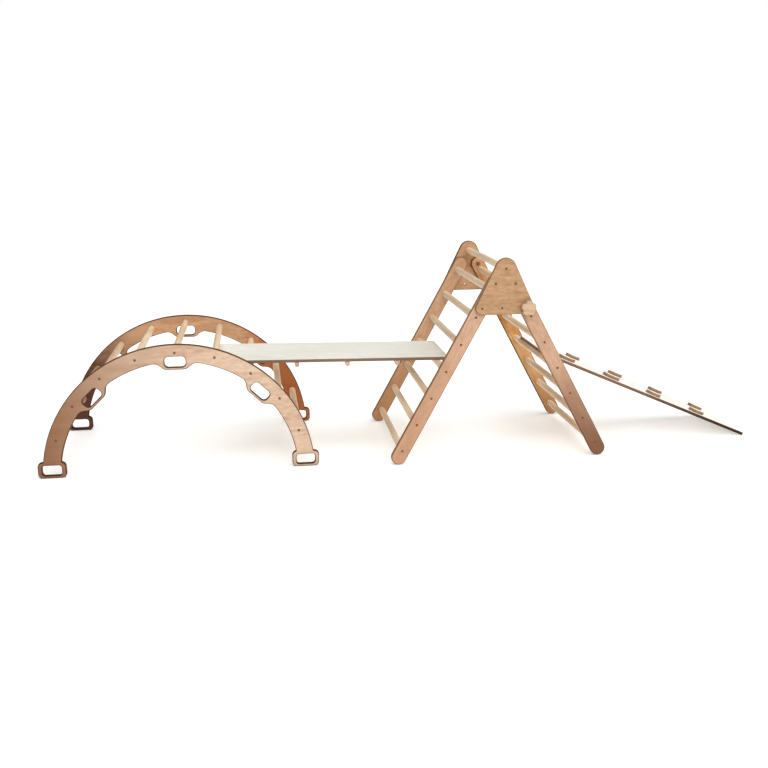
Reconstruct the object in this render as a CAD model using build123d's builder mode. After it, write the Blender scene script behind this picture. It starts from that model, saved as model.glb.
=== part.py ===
from build123d import *
import os
from math import asin, atan, cos, hypot, radians, sin

# Wooden climbing set for toddlers: an arch, a slide board, a folding triangle and a ramp in one row.
# Millimetres. The floor is Z 0, +X runs from the arch to the ramp, +Y from front to rear.

os.makedirs("parts", exist_ok=True)

# Stock
ply = 18.0               # sides of the arch and rails of the ladders
gusset_ply = 15.0
board_ply = 12.0
edge_round = 4.0         # round-over on the edges of the thick plywood
board_round = 2.0
rung_radius = 13.0
rest_gap = 0.3           # running gap under a board that lies on a rung
screw_radius = 2.5
screw_gap = 0.1
screw_head_radius = 4.6
screw_head_depth = 2.4
socket_radius = 2.0      # corner radius of the hexagon socket in a screw head
socket_depth = 1.6
screw_sunk = 0.2         # how far a head lies below the wood
screw_bite = 28.0        # length of a screw inside a rung
bore_depth = screw_bite + 1.0    # pilot bore in a rung's end
fixing_bore = ply - 2.0  # blind bore in a left rail for a gusset screw
fixing_length = gusset_ply + ply - 3.0

# Folding triangle
tri_x, tri_y = 322.1, -9.0
tri_width = 600.0        # over the outer faces of the left ladder's rails
fold_gap = 0.5           # between each gusset and the right ladder's rails
ladder_angle = 61.5      # above the floor
rung_pitch = 116.0
rung_inset = 28.0        # from the centre of a rail's round end to the nearest rung
rail_width = 58.0
rungs = 7
pivot_half_gap = 37.5    # pivots stand this far either side of the middle
apex_z = 746.0
gusset_top_radius = 40.0
gusset_corner_radius = 25.0
lock_reach = 103.0       # from a pivot to the lock hole along the rail
pivot_radius = 3.5
pivot_gap = 0.08
pivot_head_radius = 5.4
pivot_head_depth = 3.0
nut_radius, nut_depth = 7.0, 5.0
nut_corner_radius = nut_radius / cos(radians(30))

# Star knobs
knob_radius, knob_depth = 28.0, 20.0
knob_lobes = 5
knob_valley_radius, knob_valley_reach = 10.0, 33.0
knob_round = 3.5
stud_radius, stud_gap = 4.0, 0.15
stud_flange_radius, stud_flange_depth = 9.0, 2.7
stud_in_knob = 13.0
knob_stand = 3.0         # from the gusset to the knob

# Arch
arch_x, arch_y = -894.5, 39.0
arch_width = 616.0
arch_centre_z = -12.0
arch_outer, arch_inner = 502.0, 437.0
arch_rung_ring = 470.0
arch_rung_step = 17.64   # degrees between rungs
arch_rungs = 9
slot_length, slot_height, slot_corner = 76.0, 39.0, 15.0
slot_ring = 436.5        # radius of the slots' centres
pad_inner = 407.0        # the pad around a slot reaches in to this radius
pad_flat, pad_base = 78.0, 150.0
pad_corner, pad_blend = 26.0, 34.0
shoulder_steps = 2.5     # shoulder slots stand this many rung steps from the crown
pad_root_band = 6.0      # pad roots lie within this distance of the inner edge
leg_cut_z = 48.0         # the ring ends here, inside the feet
leg_cutter = 3 * arch_outer
same_radius = 0.01
foot_x = 467.0
foot_length, foot_height, foot_corner = 102.0, 61.0, 17.0
foot_blend = 4.0
loop_length, loop_height, loop_corner, loop_z = 70.0, 38.0, 11.0, 29.5

# Boards
board_width = 311.0
board_corner = 14.0
slide_length, slide_overhang = 900.0, 40.0
ramp_length, ramp_overhang = 970.0, 29.3
batten_width, batten_depth, batten_round = 16.0, 17.0, 4.5
batten_pitch = 194.5
battens = 4
hook_inset = 8.3         # from a board's end to the middle of its hook batten
stone_thick, stone_radius, stone_corner = 12.0, 36.0, 7.0
stone_chamfer = 1.5
stone_first, stone_pitch = 132.0, 207.0
stone_side = 100.0       # from the ramp's middle line to a column of stones
stone_rows = 4
stone_far_turn = 35.0    # the far column's stones are turned this much against the near one's
stone_turns = (0.0, 160.0, 15.0, 190.0)
# A stone's corners as shares of its radius
stone_outline = ((1.0, -0.1), (0.55, 0.75), (-0.35, 0.85), (-1.0, 0.3), (-0.8, -0.6), (0.25, -0.85))

ladder = radians(ladder_angle)
rail_reach = (rungs - 1) * rung_pitch + 2 * rung_inset
pivot_z = rail_width / 2 + rail_reach * sin(ladder)
tri_front = tri_y - tri_width / 2
tri_rear = tri_y + tri_width / 2
arch_front = arch_y - arch_width / 2
arch_rear = arch_y + arch_width / 2


def ladder_point(side, reach):
    """X and Z of a point on a rail's middle line: side -1 is the left ladder, 1 the right one."""
    return tri_x + side * (pivot_half_gap + reach * cos(ladder)), pivot_z - reach * sin(ladder)


def rung_reach(number):
    return rung_inset + (number - 1) * rung_pitch


def arch_point(number):
    angle = radians(90 + ((arch_rungs + 1) / 2 - number) * arch_rung_step)
    return arch_x + arch_rung_ring * cos(angle), arch_centre_z + arch_rung_ring * sin(angle)


def ring_radius(corner):
    """Distance of a sketch corner from the arch's centre."""
    return hypot(corner.X - arch_x, corner.Y - arch_centre_z)


def upright(y):
    """Sketch plane standing at y, seen from the front: local X is X and local Y is Z."""
    return Plane(origin=(0, y, 0), x_dir=(1, 0, 0), z_dir=(0, -1, 0))


def face_spots(points, front_y, rear_y):
    """One location per point on each outer face, local +Z pointing out of the wood."""
    front = [Location((x, front_y, z), (90, 0, 0)) for x, z in points]
    rear = [Location((x, rear_y, z), (-90, 0, 0)) for x, z in points]
    return front, rear


def add_screws(spots, length):
    """Countersunk hexagon-socket screws standing in each spot."""
    with Locations(*[spot * Location((0, 0, -screw_sunk)) for spot in spots]):
        Cylinder(screw_radius, length, align=(Align.CENTER, Align.CENTER, Align.MAX))
        Cone(screw_radius, screw_head_radius, screw_head_depth, align=(Align.CENTER, Align.CENTER, Align.MAX))
    with BuildSketch(*[Plane(spot * Location((0, 0, -screw_sunk))) for spot in spots]) as sockets:
        RegularPolygon(socket_radius, 6)
    extrude(sockets.sketch, amount=-socket_depth, mode=Mode.SUBTRACT)


def cut_screw_holes(spots, depth):
    with Locations(*spots):
        Cylinder(screw_radius + screw_gap, depth, align=(Align.CENTER, Align.CENTER, Align.MAX),
                 mode=Mode.SUBTRACT)
    with Locations(*spots):
        Cone(screw_radius + screw_gap, screw_head_radius + screw_gap + screw_sunk,
             screw_head_depth + screw_sunk + screw_gap,
             align=(Align.CENTER, Align.CENTER, Align.MAX), mode=Mode.SUBTRACT)


def make_rung(name, x, z, front_y, rear_y):
    with BuildPart() as rung:
        with BuildSketch(upright(front_y)):
            with Locations((x, z)):
                Circle(rung_radius)
                Circle(screw_radius + screw_gap, mode=Mode.SUBTRACT)
        extrude(amount=-bore_depth)
        with BuildSketch(upright(front_y + bore_depth)):
            with Locations((x, z)):
                Circle(rung_radius)
        extrude(amount=-(rear_y - front_y - 2 * bore_depth))
        with BuildSketch(upright(rear_y - bore_depth)):
            with Locations((x, z)):
                Circle(rung_radius)
                Circle(screw_radius + screw_gap, mode=Mode.SUBTRACT)
        extrude(amount=-bore_depth)
    rung.part.label = name
    export_step(rung.part, "parts/" + name + ".step")


def rail_blank(side, front_y):
    """A round-ended rail with its edges eased; call inside a BuildPart."""
    x, z = ladder_point(side, rail_reach / 2)
    with BuildSketch(upright(front_y)) as blank:
        with Locations(Location((x, z, 0), (0, 0, -side * ladder_angle))):
            SlotCenterToCenter(rail_reach, rail_width)
    extrude(blank.sketch, amount=-ply)


def ease_faces(part, radius):
    """Round over every edge on the two broad faces of an upright panel."""
    layers = part.edges().group_by(Axis.Y)
    fillet(layers[0] + layers[-1], radius)


left_rungs = [ladder_point(-1, rung_reach(n)) for n in range(1, rungs + 1)]
right_rungs = [ladder_point(1, rung_reach(n)) for n in range(1, rungs + 1)]
arch_points = [arch_point(n) for n in range(1, arch_rungs + 1)]
right_front = tri_front + fold_gap
right_rear = tri_rear - fold_gap
gusset_front = tri_front - gusset_ply
gusset_rear = tri_rear + gusset_ply
left_top = ladder_point(-1, 0)
left_lock = ladder_point(-1, lock_reach)
right_pivot = ladder_point(1, 0)
right_lock = ladder_point(1, lock_reach)
fold_lock = (right_pivot[0] - lock_reach * cos(ladder), right_pivot[1] - lock_reach * sin(ladder))
apex = (tri_x, apex_z)
left_fixings = [left_top, left_lock]

# Left ladder, fixed to both gussets
for name, face_y, spot_index in (("left_rail_front", tri_front, 0), ("left_rail_rear", tri_rear - ply, 1)):
    with BuildPart() as left_rail:
        rail_blank(-1, face_y)
        ease_faces(left_rail, edge_round)
        cut_screw_holes(face_spots(left_rungs, tri_front, tri_rear)[spot_index], ply)
        with Locations(*face_spots(left_fixings, tri_front, tri_rear)[spot_index]):
            Cylinder(screw_radius + screw_gap, fixing_bore, align=(Align.CENTER, Align.CENTER, Align.MAX),
                     mode=Mode.SUBTRACT)
    left_rail.part.label = name
    export_step(left_rail.part, "parts/" + name + ".step")

for number, (x, z) in enumerate(left_rungs, 1):
    make_rung("left_rung_%d" % number, x, z, tri_front + ply, tri_rear - ply)

# Right ladder, which folds about the pivots
for name, face_y, spot_index in (("right_rail_front", right_front, 0), ("right_rail_rear", right_rear - ply, 1)):
    with BuildPart() as right_rail:
        rail_blank(1, face_y)
        ease_faces(right_rail, edge_round)
        cut_screw_holes(face_spots(right_rungs, right_front, right_rear)[spot_index], ply)
        with BuildSketch(upright(face_y)):
            with Locations(right_pivot):
                Circle(pivot_radius + pivot_gap)
            with Locations(right_lock):
                Circle(stud_radius + stud_gap)
        extrude(amount=-ply, mode=Mode.SUBTRACT)
    right_rail.part.label = name
    export_step(right_rail.part, "parts/" + name + ".step")

for number, (x, z) in enumerate(right_rungs, 1):
    make_rung("right_rung_%d" % number, x, z, right_front + ply, right_rear - ply)

# Gussets: rounded triangles outside the rails
gusset_screws = left_fixings + [apex]
for name, face_y, spot_index in (("gusset_front", gusset_front, 0), ("gusset_rear", tri_rear, 1)):
    with BuildPart() as gusset:
        with BuildSketch(upright(face_y)):
            with Locations(apex):
                Circle(gusset_top_radius)
            with Locations(left_lock, right_lock):
                Circle(gusset_corner_radius)
            make_hull()
        extrude(amount=-gusset_ply)
        ease_faces(gusset, edge_round)
        cut_screw_holes(face_spots(gusset_screws, gusset_front, gusset_rear)[spot_index], gusset_ply)
        with BuildSketch(upright(face_y)):
            with Locations(right_pivot):
                Circle(pivot_radius + pivot_gap)
            with Locations(right_lock, fold_lock):
                Circle(stud_radius + stud_gap)
        extrude(amount=-gusset_ply, mode=Mode.SUBTRACT)
        with Locations(*face_spots([right_pivot], gusset_front, gusset_rear)[spot_index]):
            Cone(pivot_radius + pivot_gap, pivot_head_radius + screw_gap, pivot_head_depth + screw_gap,
                 align=(Align.CENTER, Align.CENTER, Align.MAX), mode=Mode.SUBTRACT)
    gusset.part.label = name
    export_step(gusset.part, "parts/" + name + ".step")

make_rung("apex_rung", tri_x, apex_z, tri_front, tri_rear)

# Pivot bolts: countersunk outside, nut inside the rail
with BuildPart() as pivot_bolts:
    for outer_y, inner_y, turn in ((gusset_front, right_front + ply, 90), (gusset_rear, right_rear - ply, -90)):
        shank = abs(inner_y - outer_y) + screw_gap + nut_depth
        head = Location((right_pivot[0], outer_y, right_pivot[1]), (turn, 0, 0))
        with Locations(head):
            Cylinder(pivot_radius, shank, align=(Align.CENTER, Align.CENTER, Align.MAX))
            Cone(pivot_radius, pivot_head_radius, pivot_head_depth, align=(Align.CENTER, Align.CENTER, Align.MAX))
        with BuildSketch(Plane(head * Location((0, 0, -shank)))):
            RegularPolygon(nut_corner_radius, 6)
        extrude(amount=nut_depth)
        with BuildSketch(Plane(head)):
            RegularPolygon(socket_radius, 6)
        extrude(amount=-socket_depth, mode=Mode.SUBTRACT)
pivot_bolts.part.label = "pivot_bolts"
export_step(pivot_bolts.part, "parts/pivot_bolts.step")

# Screws, one node for each item of the set
with BuildPart() as left_screws:
    for spots in face_spots(left_rungs, tri_front, tri_rear):
        add_screws(spots, ply + screw_bite)
left_screws.part.label = "left_ladder_screws"
export_step(left_screws.part, "parts/left_ladder_screws.step")

with BuildPart() as right_screws:
    for spots in face_spots(right_rungs, right_front, right_rear):
        add_screws(spots, ply + screw_bite)
right_screws.part.label = "right_ladder_screws"
export_step(right_screws.part, "parts/right_ladder_screws.step")

with BuildPart() as fixing_screws:
    for spots in face_spots(gusset_screws, gusset_front, gusset_rear):
        add_screws(spots, fixing_length)
fixing_screws.part.label = "gusset_screws"
export_step(fixing_screws.part, "parts/gusset_screws.step")

# Star knobs and their studs, which lock the right ladder open
for name, outer_y, turn in (("front", gusset_front, 90), ("rear", gusset_rear, -90)):
    seat = Location((right_lock[0], outer_y, right_lock[1]), (turn, 0, 0))
    with BuildPart() as knob:
        with BuildSketch(Plane(seat * Location((0, 0, knob_stand)))):
            Circle(knob_radius)
            with PolarLocations(knob_valley_reach, knob_lobes, start_angle=90 + 180 / knob_lobes):
                Circle(knob_valley_radius, mode=Mode.SUBTRACT)
            fillet(vertices(), knob_round)
        extrude(amount=knob_depth)
        layers = knob.edges().group_by(Axis.Y)
        fillet(layers[0] + layers[-1], knob_round)
        with BuildSketch(Plane(seat * Location((0, 0, knob_stand)))):
            Circle(stud_radius + screw_gap)
        extrude(amount=stud_in_knob + screw_gap, mode=Mode.SUBTRACT)
    knob.part.label = "star_knob_" + name
    export_step(knob.part, "parts/star_knob_" + name + ".step")

    with BuildPart() as stud:
        with Locations(seat * Location((0, 0, knob_stand + stud_in_knob))):
            Cylinder(stud_radius, stud_in_knob + knob_stand + gusset_ply - screw_gap,
                     align=(Align.CENTER, Align.CENTER, Align.MAX))
        with Locations(seat * Location((0, 0, knob_stand))):
            Cylinder(stud_flange_radius, stud_flange_depth, align=(Align.CENTER, Align.CENTER, Align.MAX))
    stud.part.label = "knob_stud_" + name
    export_step(stud.part, "parts/knob_stud_" + name + ".step")

# Arch sides: a half ring with handle slots in padded spots and a looped foot at each end
slot_turns = (-shoulder_steps * arch_rung_step, 0.0, shoulder_steps * arch_rung_step)
for name, face_y, spot_index in (("arch_side_front", arch_front, 0), ("arch_side_rear", arch_rear - ply, 1)):
    with BuildPart() as arch_side:
        with BuildSketch(upright(face_y)) as outline:
            with Locations((arch_x, arch_centre_z)):
                Circle(arch_outer)
                Circle(arch_inner, mode=Mode.SUBTRACT)
            with Locations((arch_x, leg_cut_z)):
                Rectangle(leg_cutter, leg_cutter, align=(Align.CENTER, Align.MAX), mode=Mode.SUBTRACT)
            for turn in slot_turns:
                with Locations(Location((arch_x, arch_centre_z, 0), (0, 0, turn))):
                    Polygon((-pad_flat / 2, pad_inner), (pad_flat / 2, pad_inner),
                            (pad_base / 2, arch_inner), (-pad_base / 2, arch_inner), align=None)
            with Locations((arch_x - foot_x, foot_height / 2), (arch_x + foot_x, foot_height / 2)):
                RectangleRounded(foot_length, foot_height, foot_corner)
            corners = [(ring_radius(v), v) for v in outline.vertices()]
            fillet([v for r, v in corners if v.Y > 2 * foot_height and abs(r - arch_inner) < pad_root_band], pad_blend)
            corners = [(ring_radius(v), v) for v in outline.vertices()]
            fillet([v for r, v in corners if abs(r - hypot(pad_inner, pad_flat / 2)) < same_radius], pad_corner)
            corners = [(ring_radius(v), v) for v in outline.vertices()]
            fillet([v for r, v in corners if leg_cut_z < v.Y < 2 * foot_height
                    and min(abs(r - arch_inner), abs(r - arch_outer)) < same_radius], foot_blend)
            for turn in slot_turns:
                with Locations(Location((arch_x, arch_centre_z, 0), (0, 0, turn)) * Location((0, slot_ring, 0))):
                    RectangleRounded(slot_length, slot_height, slot_corner, mode=Mode.SUBTRACT)
            with Locations((arch_x - foot_x, loop_z), (arch_x + foot_x, loop_z)):
                RectangleRounded(loop_length, loop_height, loop_corner, mode=Mode.SUBTRACT)
        extrude(amount=-ply)
        ease_faces(arch_side, edge_round)
        cut_screw_holes(face_spots(arch_points, arch_front, arch_rear)[spot_index], ply)
    arch_side.part.label = name
    export_step(arch_side.part, "parts/" + name + ".step")

for number, (x, z) in enumerate(arch_points, 1):
    make_rung("arch_rung_%d" % number, x, z, arch_front + ply, arch_rear - ply)

with BuildPart() as arch_screws:
    for spots in face_spots(arch_points, arch_front, arch_rear):
        add_screws(spots, ply + screw_bite)
arch_screws.part.label = "arch_screws"
export_step(arch_screws.part, "parts/arch_screws.step")


def board_frame(rest_x, rest_z, slope):
    """Plane on a board's underside above a rung: local X runs down the slope, local Z out of the top."""
    lift = rung_radius + rest_gap
    origin = (rest_x + lift * sin(slope), tri_y, rest_z + lift * cos(slope))
    return Plane(origin=origin, x_dir=(cos(slope), 0, -sin(slope)), z_dir=(sin(slope), 0, cos(slope)))


def make_board(name, frame, start, length):
    with BuildPart() as board:
        with BuildSketch(frame):
            with Locations((start + length / 2, 0)):
                RectangleRounded(length, board_width, board_corner)
        extrude(amount=board_ply)
        top = board.faces().sort_by(Axis.Z)[-1]
        bottom = board.faces().sort_by(Axis.Z)[0]
        fillet(top.edges() + bottom.edges(), board_round)
    board.part.label = name
    export_step(board.part, "parts/" + name + ".step")


def make_batten(name, frame, middle):
    """A cross batten under a board, its lower corners rounded."""
    section = Plane(origin=frame.from_local_coords(Vector(middle, -board_width / 2, 0)),
                    x_dir=frame.x_dir, z_dir=(0, -1, 0))
    with BuildPart() as batten:
        with BuildSketch(section) as profile:
            Rectangle(batten_width, batten_depth, align=(Align.CENTER, Align.MAX))
            fillet(profile.vertices().group_by(Axis.Y)[0], batten_round)
        extrude(amount=-board_width)
    batten.part.label = name
    export_step(batten.part, "parts/" + name + ".step")


# Slide board: lies on the arch's seventh rung and on the left ladder's fourth, hooked behind the latter
rest_rung = arch_points[6]
hook_rung = left_rungs[3]
slide_slope = atan((rest_rung[1] - hook_rung[1]) / (hook_rung[0] - rest_rung[0]))
slide_frame = board_frame(hook_rung[0], hook_rung[1], slide_slope)
make_board("slide_board", slide_frame, slide_overhang - slide_length, slide_length)
for number in range(battens):
    make_batten("slide_batten_%d" % (number + 1), slide_frame,
                slide_overhang - hook_inset - number * batten_pitch)

# Ramp: hooked over the right ladder's fourth rung with its toe on the floor
hook_x, hook_z = right_rungs[3]
toe_reach = ramp_length - ramp_overhang
lift = rung_radius + rest_gap
ramp_slope = asin(hook_z / hypot(toe_reach, lift)) + atan(lift / toe_reach)
ramp_frame = board_frame(hook_x, hook_z, ramp_slope)
make_board("ramp_board", ramp_frame, -ramp_overhang, ramp_length)
make_batten("ramp_batten", ramp_frame, hook_inset - ramp_overhang)

# Climbing stones: two staggered columns of rounded polygons
for row in range(stone_rows):
    for column, side in (("near", -1), ("far", 1)):
        along = stone_first + row * stone_pitch + (0 if side < 0 else stone_pitch / 2) - ramp_overhang
        turn = stone_turns[row] + (0 if side < 0 else stone_far_turn)
        with BuildPart() as stone:
            with BuildSketch(ramp_frame.offset(board_ply)) as blank:
                with Locations(Location((along, side * stone_side, 0), (0, 0, turn))):
                    Polygon(*[(stone_radius * a, stone_radius * b) for a, b in stone_outline], align=None)
                fillet(blank.vertices(), stone_corner)
            extrude(amount=stone_thick)
            chamfer(stone.faces().sort_by(Axis.Z)[-1].edges(), stone_chamfer)
        stone.part.label = "stone_%s_%d" % (column, row + 1)
        export_step(stone.part, "parts/stone_%s_%d.step" % (column, row + 1))
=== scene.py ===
import math

import bmesh
import bpy
from mathutils import Matrix, Vector


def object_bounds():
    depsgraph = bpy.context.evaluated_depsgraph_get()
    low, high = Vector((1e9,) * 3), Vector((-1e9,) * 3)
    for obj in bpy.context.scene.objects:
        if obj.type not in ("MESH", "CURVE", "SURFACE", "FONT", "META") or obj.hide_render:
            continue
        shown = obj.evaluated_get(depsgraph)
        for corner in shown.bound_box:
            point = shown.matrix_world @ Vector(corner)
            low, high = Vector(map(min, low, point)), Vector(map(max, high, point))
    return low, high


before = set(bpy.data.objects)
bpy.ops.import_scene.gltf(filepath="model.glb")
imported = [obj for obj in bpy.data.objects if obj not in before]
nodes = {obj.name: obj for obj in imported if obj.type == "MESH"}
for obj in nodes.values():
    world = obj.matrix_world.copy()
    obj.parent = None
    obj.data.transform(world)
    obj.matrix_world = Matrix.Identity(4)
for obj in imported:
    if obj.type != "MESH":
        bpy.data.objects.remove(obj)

# Looks for a wooden climbing set: an arch, a slide board, a folding triangle and a ramp with stones.
# Metres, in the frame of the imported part: +X from the arch to the ramp, +Y to the rear, +Z up.

cad_low, cad_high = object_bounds()

# The ladders' rails and the ramp are turned, so their grain and their layers are turned with them
ladder_turn = math.radians(61.5)
ramp_turn = math.radians(23.27)

# Wood grain: feature sizes across the grain, and how far each is drawn out along it (1 is not at all)
figure_size, figure_along = 0.075, 0.14
fibre_size, fibre_along = 0.0016, 0.04
pore_size, pore_along = 0.0011, 0.06
drift_size, drift_along = 0.16, 0.45
mottle_size, mottle_along = 0.011, 0.35
smudge_size = 0.045
rub_size, rub_along = 0.009, 0.6
ply_layer = 0.0014           # thickness of one plywood layer
flat_face = 0.9995           # how squarely the surface has to face across the sheet to count as a face
full_edge = 0.93             # where the easing between face and edge counts as edge
ragged = 0.05                # how far mottling moves the boundary of the darkening and painted shade, in metres
grain_depth = 0.00012        # relief of grain and layers on plywood
fine_grain_depth = 0.0001    # relief of the grain on solid wood
steel_scratch = 0.0006       # size of the turning marks on steel
steel_depth = 0.00005        # relief of the turning marks

# Floor, lamps and camera
floor_drop = 0.0006          # the floor lies this far below the feet
floor_reach = 30.0
lamp_place, lamp_strength, lamp_spread = (1.1, -1.2, 3.6), 2.55, math.radians(80)
softbox_place, softbox_watts, softbox_size = (0.4, -5.2, 2.6), 60.0, 2.4
fill_strength = 0.36         # light from the white surroundings
floor_glow = 0.2             # keeps the floor white between the lamps
camera_place = Vector((-0.5892, -3.6431, 1.1965))
camera_yaw, camera_pitch, camera_roll = math.radians(7.826), math.radians(14.563), math.radians(-0.221)
camera_lens, camera_sensor = 43.59, 36.0


# ---- Colours ----

def tint(red, green, blue):
    """A colour picked on a screen, 0 to 255, as the shader wants it."""
    shares = [value / 255 for value in (red, green, blue)]
    return tuple(s / 12.92 if s <= 0.04045 else ((s + 0.055) / 1.055) ** 2.4 for s in shares) + (1.0,)


def darker(colour, share):
    return tuple(value * share for value in colour[:3]) + (1.0,)


# ---- Small helpers for node trees ----

def put(tree, kind, **settings):
    node = tree.nodes.new(kind)
    for setting, value in settings.items():
        setattr(node, setting, value)
    return node


def feed(tree, socket, value):
    """Plug a source into a socket, or set the socket to a plain value."""
    if isinstance(value, bpy.types.NodeSocket):
        tree.links.new(value, socket)
    else:
        socket.default_value = value


def work_out(tree, operation, first, second=None, third=None):
    node = put(tree, "ShaderNodeMath", operation=operation)
    for socket, value in zip(node.inputs, (first, second, third)):
        if value is not None:
            feed(tree, socket, value)
    return node.outputs[0]


def add_share(tree, value, share, rest):
    """rest plus a share of value."""
    return work_out(tree, "MULTIPLY_ADD", value, share, rest)


def ramp_between(tree, value, low, high, out_low=0.0, out_high=1.0):
    """value from low to high, eased, as out_low to out_high."""
    node = put(tree, "ShaderNodeMapRange", interpolation_type="SMOOTHSTEP")
    for name, source in (("Value", value), ("From Min", low), ("From Max", high),
                         ("To Min", out_low), ("To Max", out_high)):
        feed(tree, node.inputs[name], source)
    return node.outputs["Result"]


def blend_colours(tree, share, first, second):
    node = put(tree, "ShaderNodeMix", data_type="RGBA")
    colour_a, colour_b = node.inputs[6], node.inputs[7]
    feed(tree, node.inputs["Factor"], share)
    feed(tree, colour_a, first)
    feed(tree, colour_b, second)
    return node.outputs[2]


def split(tree, vector):
    """The X, Y and Z sockets of a vector."""
    node = put(tree, "ShaderNodeSeparateXYZ")
    feed(tree, node.inputs[0], vector)
    return node.outputs


def turned(tree, source, turn, kind="POINT"):
    """The piece's own position or normal, turned so that local X runs along the grain."""
    node = put(tree, "ShaderNodeMapping", vector_type=kind)
    node.inputs["Rotation"].default_value = turn
    feed(tree, node.inputs["Vector"], put(tree, "ShaderNodeTexCoord").outputs[source])
    return node.outputs["Vector"]


def stretched(tree, vector, along, shift=(0.0, 0.0, 0.0)):
    """The same position with everything drawn out along the grain, which is local X."""
    node = put(tree, "ShaderNodeMapping")
    feed(tree, node.inputs["Vector"], vector)
    node.inputs["Scale"].default_value = (along, 1.0, 1.0)
    node.inputs["Location"].default_value = shift
    return node.outputs["Vector"]


def speckle(tree, vector, size, detail=3.0, roughness=0.5):
    """Noise whose features are about this many metres across."""
    node = put(tree, "ShaderNodeTexNoise")
    feed(tree, node.inputs["Vector"], vector)
    node.inputs["Scale"].default_value = 1.0 / size
    node.inputs["Detail"].default_value = detail
    node.inputs["Roughness"].default_value = roughness
    return node.outputs["Fac"]


def new_group(name, inputs, outputs):
    tree = bpy.data.node_groups.new(name, "ShaderNodeTree")
    for socket, kind, value in inputs:
        made = tree.interface.new_socket(socket, in_out="INPUT", socket_type=kind)
        if value is not None:
            made.default_value = value
    for socket in outputs:
        tree.interface.new_socket(socket, in_out="OUTPUT", socket_type="NodeSocketFloat")
    return tree, put(tree, "NodeGroupInput").outputs, put(tree, "NodeGroupOutput").inputs


def use_group(tree, group, **inputs):
    node = put(tree, "ShaderNodeGroup", node_tree=group)
    for name, value in inputs.items():
        feed(tree, node.inputs[name.replace("_", " ")], value)
    return node.outputs


# ---- Shared effects ----

def wood_grain():
    """Growth-ring figure, fine fibres, pores and slow colour drift, with the grain along local X."""
    tree, given, result = new_group(
        "Wood Grain",
        (("Position", "NodeSocketVector", None), ("Rings", "NodeSocketFloat", 14.0),
         ("Pore Share", "NodeSocketFloat", 0.5)),
        ("Figure", "Fibres", "Pores", "Drift", "Mottle", "Height"))
    place = given["Position"]
    sweep = speckle(tree, stretched(tree, place, figure_along), figure_size, detail=2.0)
    turns = work_out(tree, "MULTIPLY", sweep, work_out(tree, "MULTIPLY", given["Rings"], math.tau))
    figure = ramp_between(tree, work_out(tree, "SINE", turns), -1.0, 1.0)
    strands = speckle(tree, stretched(tree, place, fibre_along), fibre_size, detail=5.0, roughness=0.6)
    fibres = ramp_between(tree, strands, 0.3, 0.7)
    specks = speckle(tree, stretched(tree, place, pore_along, (0.3, 0.7, 0.1)), pore_size, detail=2.0)
    pores = work_out(tree, "MULTIPLY", ramp_between(tree, specks, 0.60, 0.72), given["Pore Share"])
    clouds = speckle(tree, stretched(tree, place, drift_along, (0.9, 0.2, 0.4)), drift_size, detail=2.0)
    drift = ramp_between(tree, clouds, 0.3, 0.7)
    flecks = speckle(tree, stretched(tree, place, mottle_along, (0.2, 0.6, 0.8)), mottle_size, detail=4.0,
                     roughness=0.65)
    mottle = ramp_between(tree, flecks, 0.34, 0.66)
    height = work_out(tree, "SUBTRACT", work_out(tree, "MULTIPLY", fibres, 0.6), pores)
    for name, value in (("Figure", figure), ("Fibres", fibres), ("Pores", pores), ("Drift", drift),
                        ("Mottle", mottle), ("Height", height)):
        feed(tree, result[name], value)
    return tree


def sheet_edge():
    """Where a plywood sheet shows its edge, and the layers and glue lines there."""
    tree, given, result = new_group(
        "Sheet Edge",
        (("Facing", "NodeSocketFloat", 0.0), ("Across", "NodeSocketFloat", 0.0),
         ("Layer", "NodeSocketFloat", ply_layer)),
        ("Edge", "Layers", "Glue"))
    facing = work_out(tree, "ABSOLUTE", given["Facing"])
    edge = ramp_between(tree, facing, full_edge, flat_face, 1.0, 0.0)
    layer_count = work_out(tree, "DIVIDE", given["Across"], given["Layer"])
    swing = work_out(tree, "SINE", work_out(tree, "MULTIPLY", math.pi, layer_count))
    layers = ramp_between(tree, swing, -0.35, 0.35)
    glue = ramp_between(tree, work_out(tree, "ABSOLUTE", swing), 0.0, 0.3, 1.0, 0.0)
    for name, value in (("Edge", edge), ("Layers", layers), ("Glue", glue)):
        feed(tree, result[name], value)
    return tree


def handling():
    """Smudges from hands and small rubbed spots in the lacquer."""
    tree, given, result = new_group("Handling", (("Position", "NodeSocketVector", None),), ("Smudge", "Rubbed"))
    place = given["Position"]
    smudge = ramp_between(tree, speckle(tree, place, smudge_size, detail=4.0), 0.42, 0.70)
    spots = speckle(tree, stretched(tree, place, rub_along, (0.5, 0.5, 0.5)), rub_size)
    feed(tree, result["Smudge"], smudge)
    feed(tree, result["Rubbed"], ramp_between(tree, spots, 0.58, 0.75))
    return tree


grain_group, edge_group, handling_group = wood_grain(), sheet_edge(), handling()


# ---- Materials ----

def start_material(name):
    material = bpy.data.materials.new(name)
    material.use_nodes = True
    tree = material.node_tree
    return material, tree, tree.nodes["Principled BSDF"]


def add_bump(tree, shader, height, depth, strength=0.5):
    bump = put(tree, "ShaderNodeBump")
    bump.inputs["Strength"].default_value = strength
    bump.inputs["Distance"].default_value = depth
    feed(tree, bump.inputs["Height"], height)
    feed(tree, shader.inputs["Normal"], bump.outputs["Normal"])


def darkened_along_piece(tree, colour, mottle, axis, start, full, deep, share):
    """Colour that turns darker along the piece, with a ragged boundary; on most pieces this is painted shade."""
    spot = split(tree, put(tree, "ShaderNodeTexCoord").outputs["Object"])
    wander = add_share(tree, mottle, ragged, spot[axis])
    depth = work_out(tree, "MULTIPLY", ramp_between(tree, wander, start, full), share)
    return blend_colours(tree, depth, colour, deep)


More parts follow.
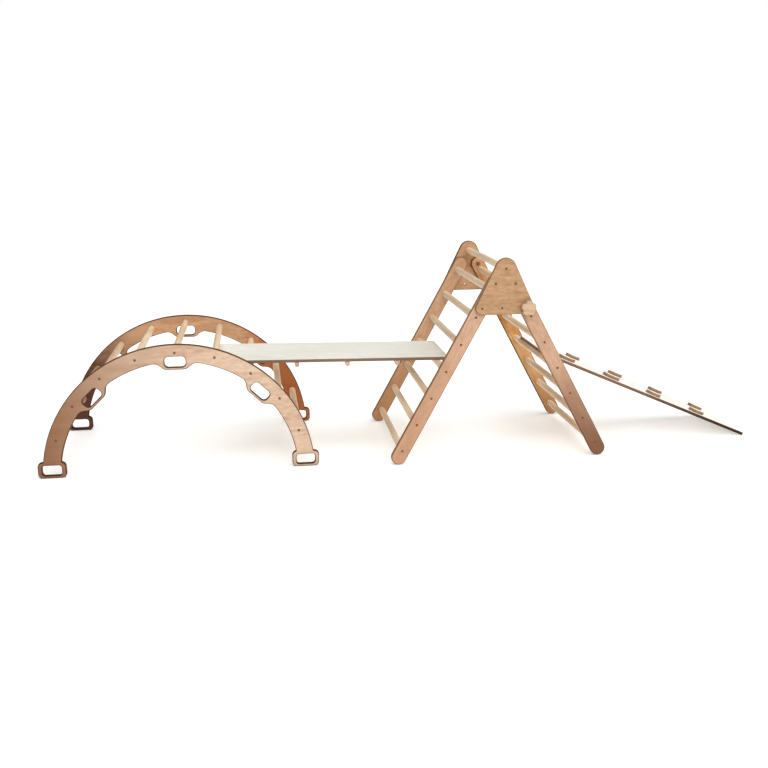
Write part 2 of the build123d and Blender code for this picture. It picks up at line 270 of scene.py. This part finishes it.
def plywood(name, face, rim, turn, through="Y", figure_share=0.2, mottle_share=0.35, rings=5.0, darkening_and_painted_shade=()):
    """Lacquered birch plywood: figured faces, and darker edges with their layers showing.

    face and rim are each a pale and a brown tone. through is the axis across the sheet, once it is turned.
    Each entry of darkening_and_painted_shade darkens the wood towards one end, on most pieces as painted shade
    where less light reaches: (axis, where it starts, where it is full, colour, share on the faces, share on the
    edges).
    """
    pale, brown = face
    rim_pale, rim_brown = rim
    glue_colour = darker(rim_brown, 0.35)
    material, tree, shader = start_material(name)
    place = turned(tree, "Object", turn)
    facing = split(tree, turned(tree, "Normal", turn, "VECTOR"))[through]
    grain = use_group(tree, grain_group, Position=place, Rings=rings, Pore_Share=0.45)
    marks = use_group(tree, handling_group, Position=place)
    edge = use_group(tree, edge_group, Facing=facing, Across=split(tree, place)[through])

    tone = add_share(tree, grain["Figure"], figure_share, work_out(tree, "MULTIPLY", grain["Drift"], 0.3))
    tone = add_share(tree, grain["Mottle"], mottle_share, tone)
    fine_marks = add_share(tree, grain["Fibres"], 0.10, work_out(tree, "MULTIPLY", grain["Pores"], 0.35))
    face_colour = blend_colours(tree, fine_marks, blend_colours(tree, tone, pale, brown), brown)

    rim_colour = blend_colours(tree, edge["Layers"], rim_brown, rim_pale)
    rim_colour = blend_colours(tree, work_out(tree, "MULTIPLY", edge["Glue"], 0.5), rim_colour, glue_colour)
    rim_colour = blend_colours(tree, work_out(tree, "MULTIPLY", grain["Drift"], 0.35), rim_colour, rim_brown)

    for axis, start, full, deep, on_face, on_edge in darkening_and_painted_shade:
        face_colour = darkened_along_piece(tree, face_colour, grain["Mottle"], axis, start, full, deep, on_face)
        rim_colour = darkened_along_piece(tree, rim_colour, grain["Mottle"], axis, start, full, darker(deep, 0.35), on_edge)
    feed(tree, shader.inputs["Base Color"], blend_colours(tree, edge["Edge"], face_colour, rim_colour))

    dull = add_share(tree, marks["Smudge"], 0.14, add_share(tree, edge["Edge"], 0.16, 0.42))
    feed(tree, shader.inputs["Roughness"], add_share(tree, marks["Rubbed"], 0.06, dull))
    feed(tree, shader.inputs["Specular IOR Level"], add_share(tree, edge["Edge"], -0.2, 0.3))
    shader.inputs["Coat Weight"].default_value = 0.03
    shader.inputs["Coat Roughness"].default_value = 0.3
    relief = work_out(tree, "ADD", grain["Height"], work_out(tree, "MULTIPLY", edge["Layers"], edge["Edge"]))
    add_bump(tree, shader, relief, grain_depth)
    return material


def solid_wood(name, pale, brown, turn, rings=4.0, darkening_and_painted_shade=()):
    """Smooth lacquered beech or birch, its grain along the piece. darkening_and_painted_shade is as for plywood,
    without edges.
    """
    material, tree, shader = start_material(name)
    place = turned(tree, "Object", turn)
    grain = use_group(tree, grain_group, Position=place, Rings=rings, Pore_Share=0.35)
    marks = use_group(tree, handling_group, Position=place)
    tone = add_share(tree, grain["Figure"], 0.3, work_out(tree, "MULTIPLY", grain["Drift"], 0.35))
    fine_marks = add_share(tree, grain["Fibres"], 0.12, work_out(tree, "MULTIPLY", grain["Pores"], 0.4))
    colour = blend_colours(tree, fine_marks, blend_colours(tree, tone, pale, brown), brown)
    for axis, start, full, deep, share in darkening_and_painted_shade:
        colour = darkened_along_piece(tree, colour, grain["Mottle"], axis, start, full, deep, share)
    feed(tree, shader.inputs["Base Color"], colour)
    dull = add_share(tree, marks["Smudge"], 0.15, add_share(tree, marks["Rubbed"], 0.08, 0.4))
    feed(tree, shader.inputs["Roughness"], dull)
    shader.inputs["Specular IOR Level"].default_value = 0.4
    shader.inputs["Coat Weight"].default_value = 0.08
    shader.inputs["Coat Roughness"].default_value = 0.25
    add_bump(tree, shader, grain["Height"], fine_grain_depth)
    return material


def burnished_steel(name):
    """Dark screws and bolts with turning marks and worn spots."""
    material, tree, shader = start_material(name)
    place = turned(tree, "Object", along_x)
    marks = use_group(tree, handling_group, Position=place)
    fine = speckle(tree, place, steel_scratch, detail=4.0)
    wear = work_out(tree, "MULTIPLY", marks["Rubbed"], ramp_between(tree, fine, 0.4, 0.6))
    bronzed = blend_colours(tree, fine, tint(96, 62, 38), tint(126, 88, 58))
    feed(tree, shader.inputs["Base Color"], blend_colours(tree, wear, bronzed, tint(158, 144, 128)))
    shader.inputs["Metallic"].default_value = 0.55
    feed(tree, shader.inputs["Roughness"], ramp_between(tree, fine, 0.2, 0.8, 0.32, 0.5))
    add_bump(tree, shader, fine, steel_depth)
    return material


# ---- Finishes ----

along_x = (0.0, 0.0, 0.0)
along_y = (0.0, 0.0, -math.pi / 2)
along_left_rail = (0.0, ladder_turn, 0.0)
along_right_rail = (0.0, -ladder_turn, 0.0)
along_ramp = (0.0, -ramp_turn, 0.0)
across_ramp = (0.0, -ramp_turn, -math.pi / 2)

dark_rim = (tint(104, 66, 36), tint(70, 40, 18))
light_rim = (tint(170, 132, 102), tint(132, 96, 70))

# Each finish goes to the nodes whose names start with its key
finishes = {
    "left_rail_front": plywood(
        "Left Rail Plywood", (tint(210, 173, 146), tint(173, 129, 99)), light_rim, along_left_rail,
        mottle_share=0.45, darkening_and_painted_shade=(("Z", 0.60, 0.20, tint(176, 132, 100), 0.6, 0.6),)),
    # Painted shade: the rear left rail darkens to orange towards its foot, standing in for the shade on its
    # inner face.
    "left_rail_rear": plywood(
        "Left Rear Rail Plywood", (tint(212, 172, 138), tint(178, 131, 94)), light_rim, along_left_rail,
        darkening_and_painted_shade=(("Z", 0.42, 0.05, tint(174, 120, 74), 0.7, 0.6),)),
    # Painted shade: the front right rail turns deep brown towards its foot, standing in for the light falling
    # off there.
    "right_rail_front": plywood(
        "Right Rail Plywood", (tint(200, 163, 135), tint(162, 121, 91)), light_rim, along_right_rail,
        mottle_share=0.45, darkening_and_painted_shade=(("Z", 0.45, 0.03, tint(104, 60, 26), 0.88, 0.7),)),
    # Painted shade: the rear right rail is an orange copy of the rail wood for the shade inside the triangle,
    # with a deeper orange band painted as the shadow under the gusset, pinkish tan again at the apex, and orange
    # towards the foot.
    "right_rail_rear": plywood(
        "Right Rear Rail Plywood", (tint(218, 172, 118), tint(188, 136, 80)), dark_rim, along_right_rail,
        darkening_and_painted_shade=(("Z", 0.34, 0.52, tint(168, 104, 32), 0.88, 0.6),
                   ("Z", 0.60, 0.68, tint(192, 146, 108), 0.85, 0.5),
                   ("Z", 0.24, 0.04, tint(172, 116, 64), 0.6, 0.6))),
    "gusset_front": plywood(
        "Gusset Plywood", (tint(190, 152, 114), tint(148, 110, 72)), light_rim, along_x,
        figure_share=0.22, mottle_share=0.5, rings=7.0),
    "gusset_rear": plywood(
        "Rear Gusset Plywood", (tint(206, 162, 124), tint(172, 126, 88)), dark_rim, along_x, figure_share=0.3),
    # Painted shade: the front arch side turns brown towards its left leg, where less light reaches. It is also
    # darker towards the feet.
    "arch_side_front": plywood(
        "Arch Plywood", (tint(214, 187, 163), tint(184, 148, 120)), dark_rim, along_x,
        figure_share=0.3, mottle_share=0.5,
        darkening_and_painted_shade=(("X", -0.80, -1.45, tint(122, 76, 38), 0.95, 0.6),
                   ("Z", 0.10, 0.03, tint(92, 62, 40), 0.3, 0.5))),
    # Painted shade: the rear arch side is a more orange copy of the arch wood, turning deep orange at its right
    # end in the shade under the slide, and nearly black-brown at its left foot in the shade behind the front
    # side.
    "arch_side_rear": plywood(
        "Rear Arch Plywood", (tint(206, 164, 126), tint(170, 122, 84)), dark_rim, along_x, figure_share=0.3,
        darkening_and_painted_shade=(("X", -0.68, -0.50, tint(156, 80, 12), 0.9, 0.6),
                   ("X", -1.02, -1.30, tint(70, 28, 6), 0.95, 0.9))),
    # Painted highlight and shade: the slide's faces are near white, standing in for its brightly lit top, and
    # turn grey-tan at the end by the triangle, painted as the triangle's shadow.
    "slide_board": plywood(
        "Slide Plywood", (tint(236, 236, 228), tint(216, 211, 196)), (tint(150, 124, 104), tint(104, 82, 66)),
        along_x, "Z", mottle_share=0.25, rings=9.0,
        darkening_and_painted_shade=(("X", 0.10, 0.22, tint(216, 206, 188), 0.5, 0.2),)),
    # Painted highlight: the ramp's faces are near white, paler than the slide as the ramp tilts towards the
    # lamp, standing in for its brightly lit top. Its edges darken towards the foot.
    "ramp_board": plywood(
        "Ramp Plywood", (tint(250, 249, 245), tint(238, 231, 220)), (tint(158, 126, 98), tint(100, 72, 50)),
        along_ramp, "Z", figure_share=0.15, mottle_share=0.25,
        darkening_and_painted_shade=(("X", 0.75, 1.36, tint(96, 56, 30), 0.02, 0.95),)),
    # Painted highlight: the stones' faces are near white, standing in for their brightly lit tops.
    "stone": plywood(
        "Stone Plywood", (tint(246, 240, 230), tint(228, 212, 192)), (tint(176, 142, 114), tint(126, 94, 70)),
        along_ramp, "Z", mottle_share=0.3),
    # Painted shade: the rungs darken towards the arch's left leg, standing in for the shade there.
    "rung": solid_wood(
        "Rung Beech", tint(234, 213, 182), tint(192, 152, 108), along_y,
        darkening_and_painted_shade=(("X", -1.04, -1.30, tint(132, 82, 44), 0.8),)),
    "slide_batten": solid_wood("Slide Batten", tint(200, 172, 140), tint(164, 126, 92), along_y),
    "ramp_batten": solid_wood("Ramp Batten", tint(214, 184, 148), tint(176, 134, 94), across_ramp),
    "star_knob": solid_wood("Knob Beech", tint(204, 176, 144), tint(166, 128, 92), along_x, rings=7.0),
    "steel": burnished_steel("Burnished Steel"),
}


def finish_for(node):
    """The finish of a node. Screws, bolts and studs are steel, and all rungs share one finish."""
    if "screws" in node or "bolts" in node or "stud" in node:
        return finishes["steel"]
    if "rung" in node:
        return finishes["rung"]
    for name in finishes:
        if node.startswith(name):
            return finishes[name]
    raise ValueError("no finish for " + node)


for name, obj in nodes.items():
    obj.data.materials.clear()
    obj.data.materials.append(finish_for(name))


# ---- Floor, light and camera ----

def add_floor():
    mesh = bpy.data.meshes.new("Studio Floor")
    form = bmesh.new()
    bmesh.ops.create_grid(form, x_segments=24, y_segments=24, size=floor_reach)
    form.to_mesh(mesh)
    form.free()
    floor = bpy.data.objects.new("Studio Floor", mesh)
    floor.location = (0.0, 0.0, -floor_drop)
    bpy.context.scene.collection.objects.link(floor)
    material, tree, shader = start_material("Pale Floor")
    mist = speckle(tree, turned(tree, "Object", along_x), 0.8, detail=2.0)
    feed(tree, shader.inputs["Base Color"], blend_colours(tree, mist, tint(252, 252, 252), tint(249, 249, 248)))
    feed(tree, shader.inputs["Roughness"], ramp_between(tree, mist, 0.2, 0.8, 0.75, 0.85))
    shader.inputs["Emission Color"].default_value = (1.0, 1.0, 1.0, 1.0)
    shader.inputs["Emission Strength"].default_value = floor_glow
    mesh.materials.append(material)


def add_lamp(name, kind, place, target, energy, **settings):
    light = bpy.data.lights.new(name, kind)
    light.energy = energy
    for setting, value in settings.items():
        setattr(light, setting, value)
    lamp = bpy.data.objects.new(name, light)
    lamp.location = place
    lamp.rotation_mode = "QUATERNION"
    lamp.rotation_quaternion = (Vector(target) - Vector(place)).to_track_quat("-Z", "Y")
    bpy.context.scene.collection.objects.link(lamp)


def white_world():
    """White all round: full strength as a backdrop, gentler as a light."""
    world = bpy.data.worlds.new("Studio White")
    world.use_nodes = True
    tree = world.node_tree
    backdrop = tree.nodes["Background"]
    backdrop.inputs["Color"].default_value = (1.0, 1.0, 1.0, 1.0)
    backdrop.inputs["Strength"].default_value = 1.0
    fill = put(tree, "ShaderNodeBackground")
    fill.inputs["Color"].default_value = (1.0, 0.985, 0.965, 1.0)
    fill.inputs["Strength"].default_value = fill_strength
    choice = put(tree, "ShaderNodeMixShader")
    feed(tree, choice.inputs[0], put(tree, "ShaderNodeLightPath").outputs["Is Camera Ray"])
    feed(tree, choice.inputs[1], fill.outputs[0])
    feed(tree, choice.inputs[2], backdrop.outputs[0])
    feed(tree, tree.nodes["World Output"].inputs["Surface"], choice.outputs[0])
    return world


def add_camera():
    data = bpy.data.cameras.new("Camera")
    data.sensor_width = camera_sensor
    data.lens = camera_lens
    data.clip_end = 200.0
    camera = bpy.data.objects.new("Camera", data)
    forward = Vector((math.sin(camera_yaw) * math.cos(camera_pitch),
                      math.cos(camera_yaw) * math.cos(camera_pitch), -math.sin(camera_pitch)))
    level = Vector((math.cos(camera_yaw), -math.sin(camera_yaw), 0.0))
    right = math.cos(camera_roll) * level + math.sin(camera_roll) * level.cross(forward)
    axes = Matrix((right, right.cross(forward), -forward)).transposed().to_4x4()
    camera.matrix_world = Matrix.Translation(camera_place) @ axes
    bpy.context.scene.collection.objects.link(camera)
    bpy.context.scene.camera = camera


middle = (cad_low + cad_high) / 2
add_floor()
add_lamp("Ceiling Light", "SUN", lamp_place, middle, lamp_strength, angle=lamp_spread)
add_lamp("Front Softbox", "AREA", softbox_place, middle, softbox_watts, shape="DISK", size=softbox_size)
add_camera()
bpy.context.scene.world = white_world()
bpy.context.scene.view_settings.view_transform = "Standard"
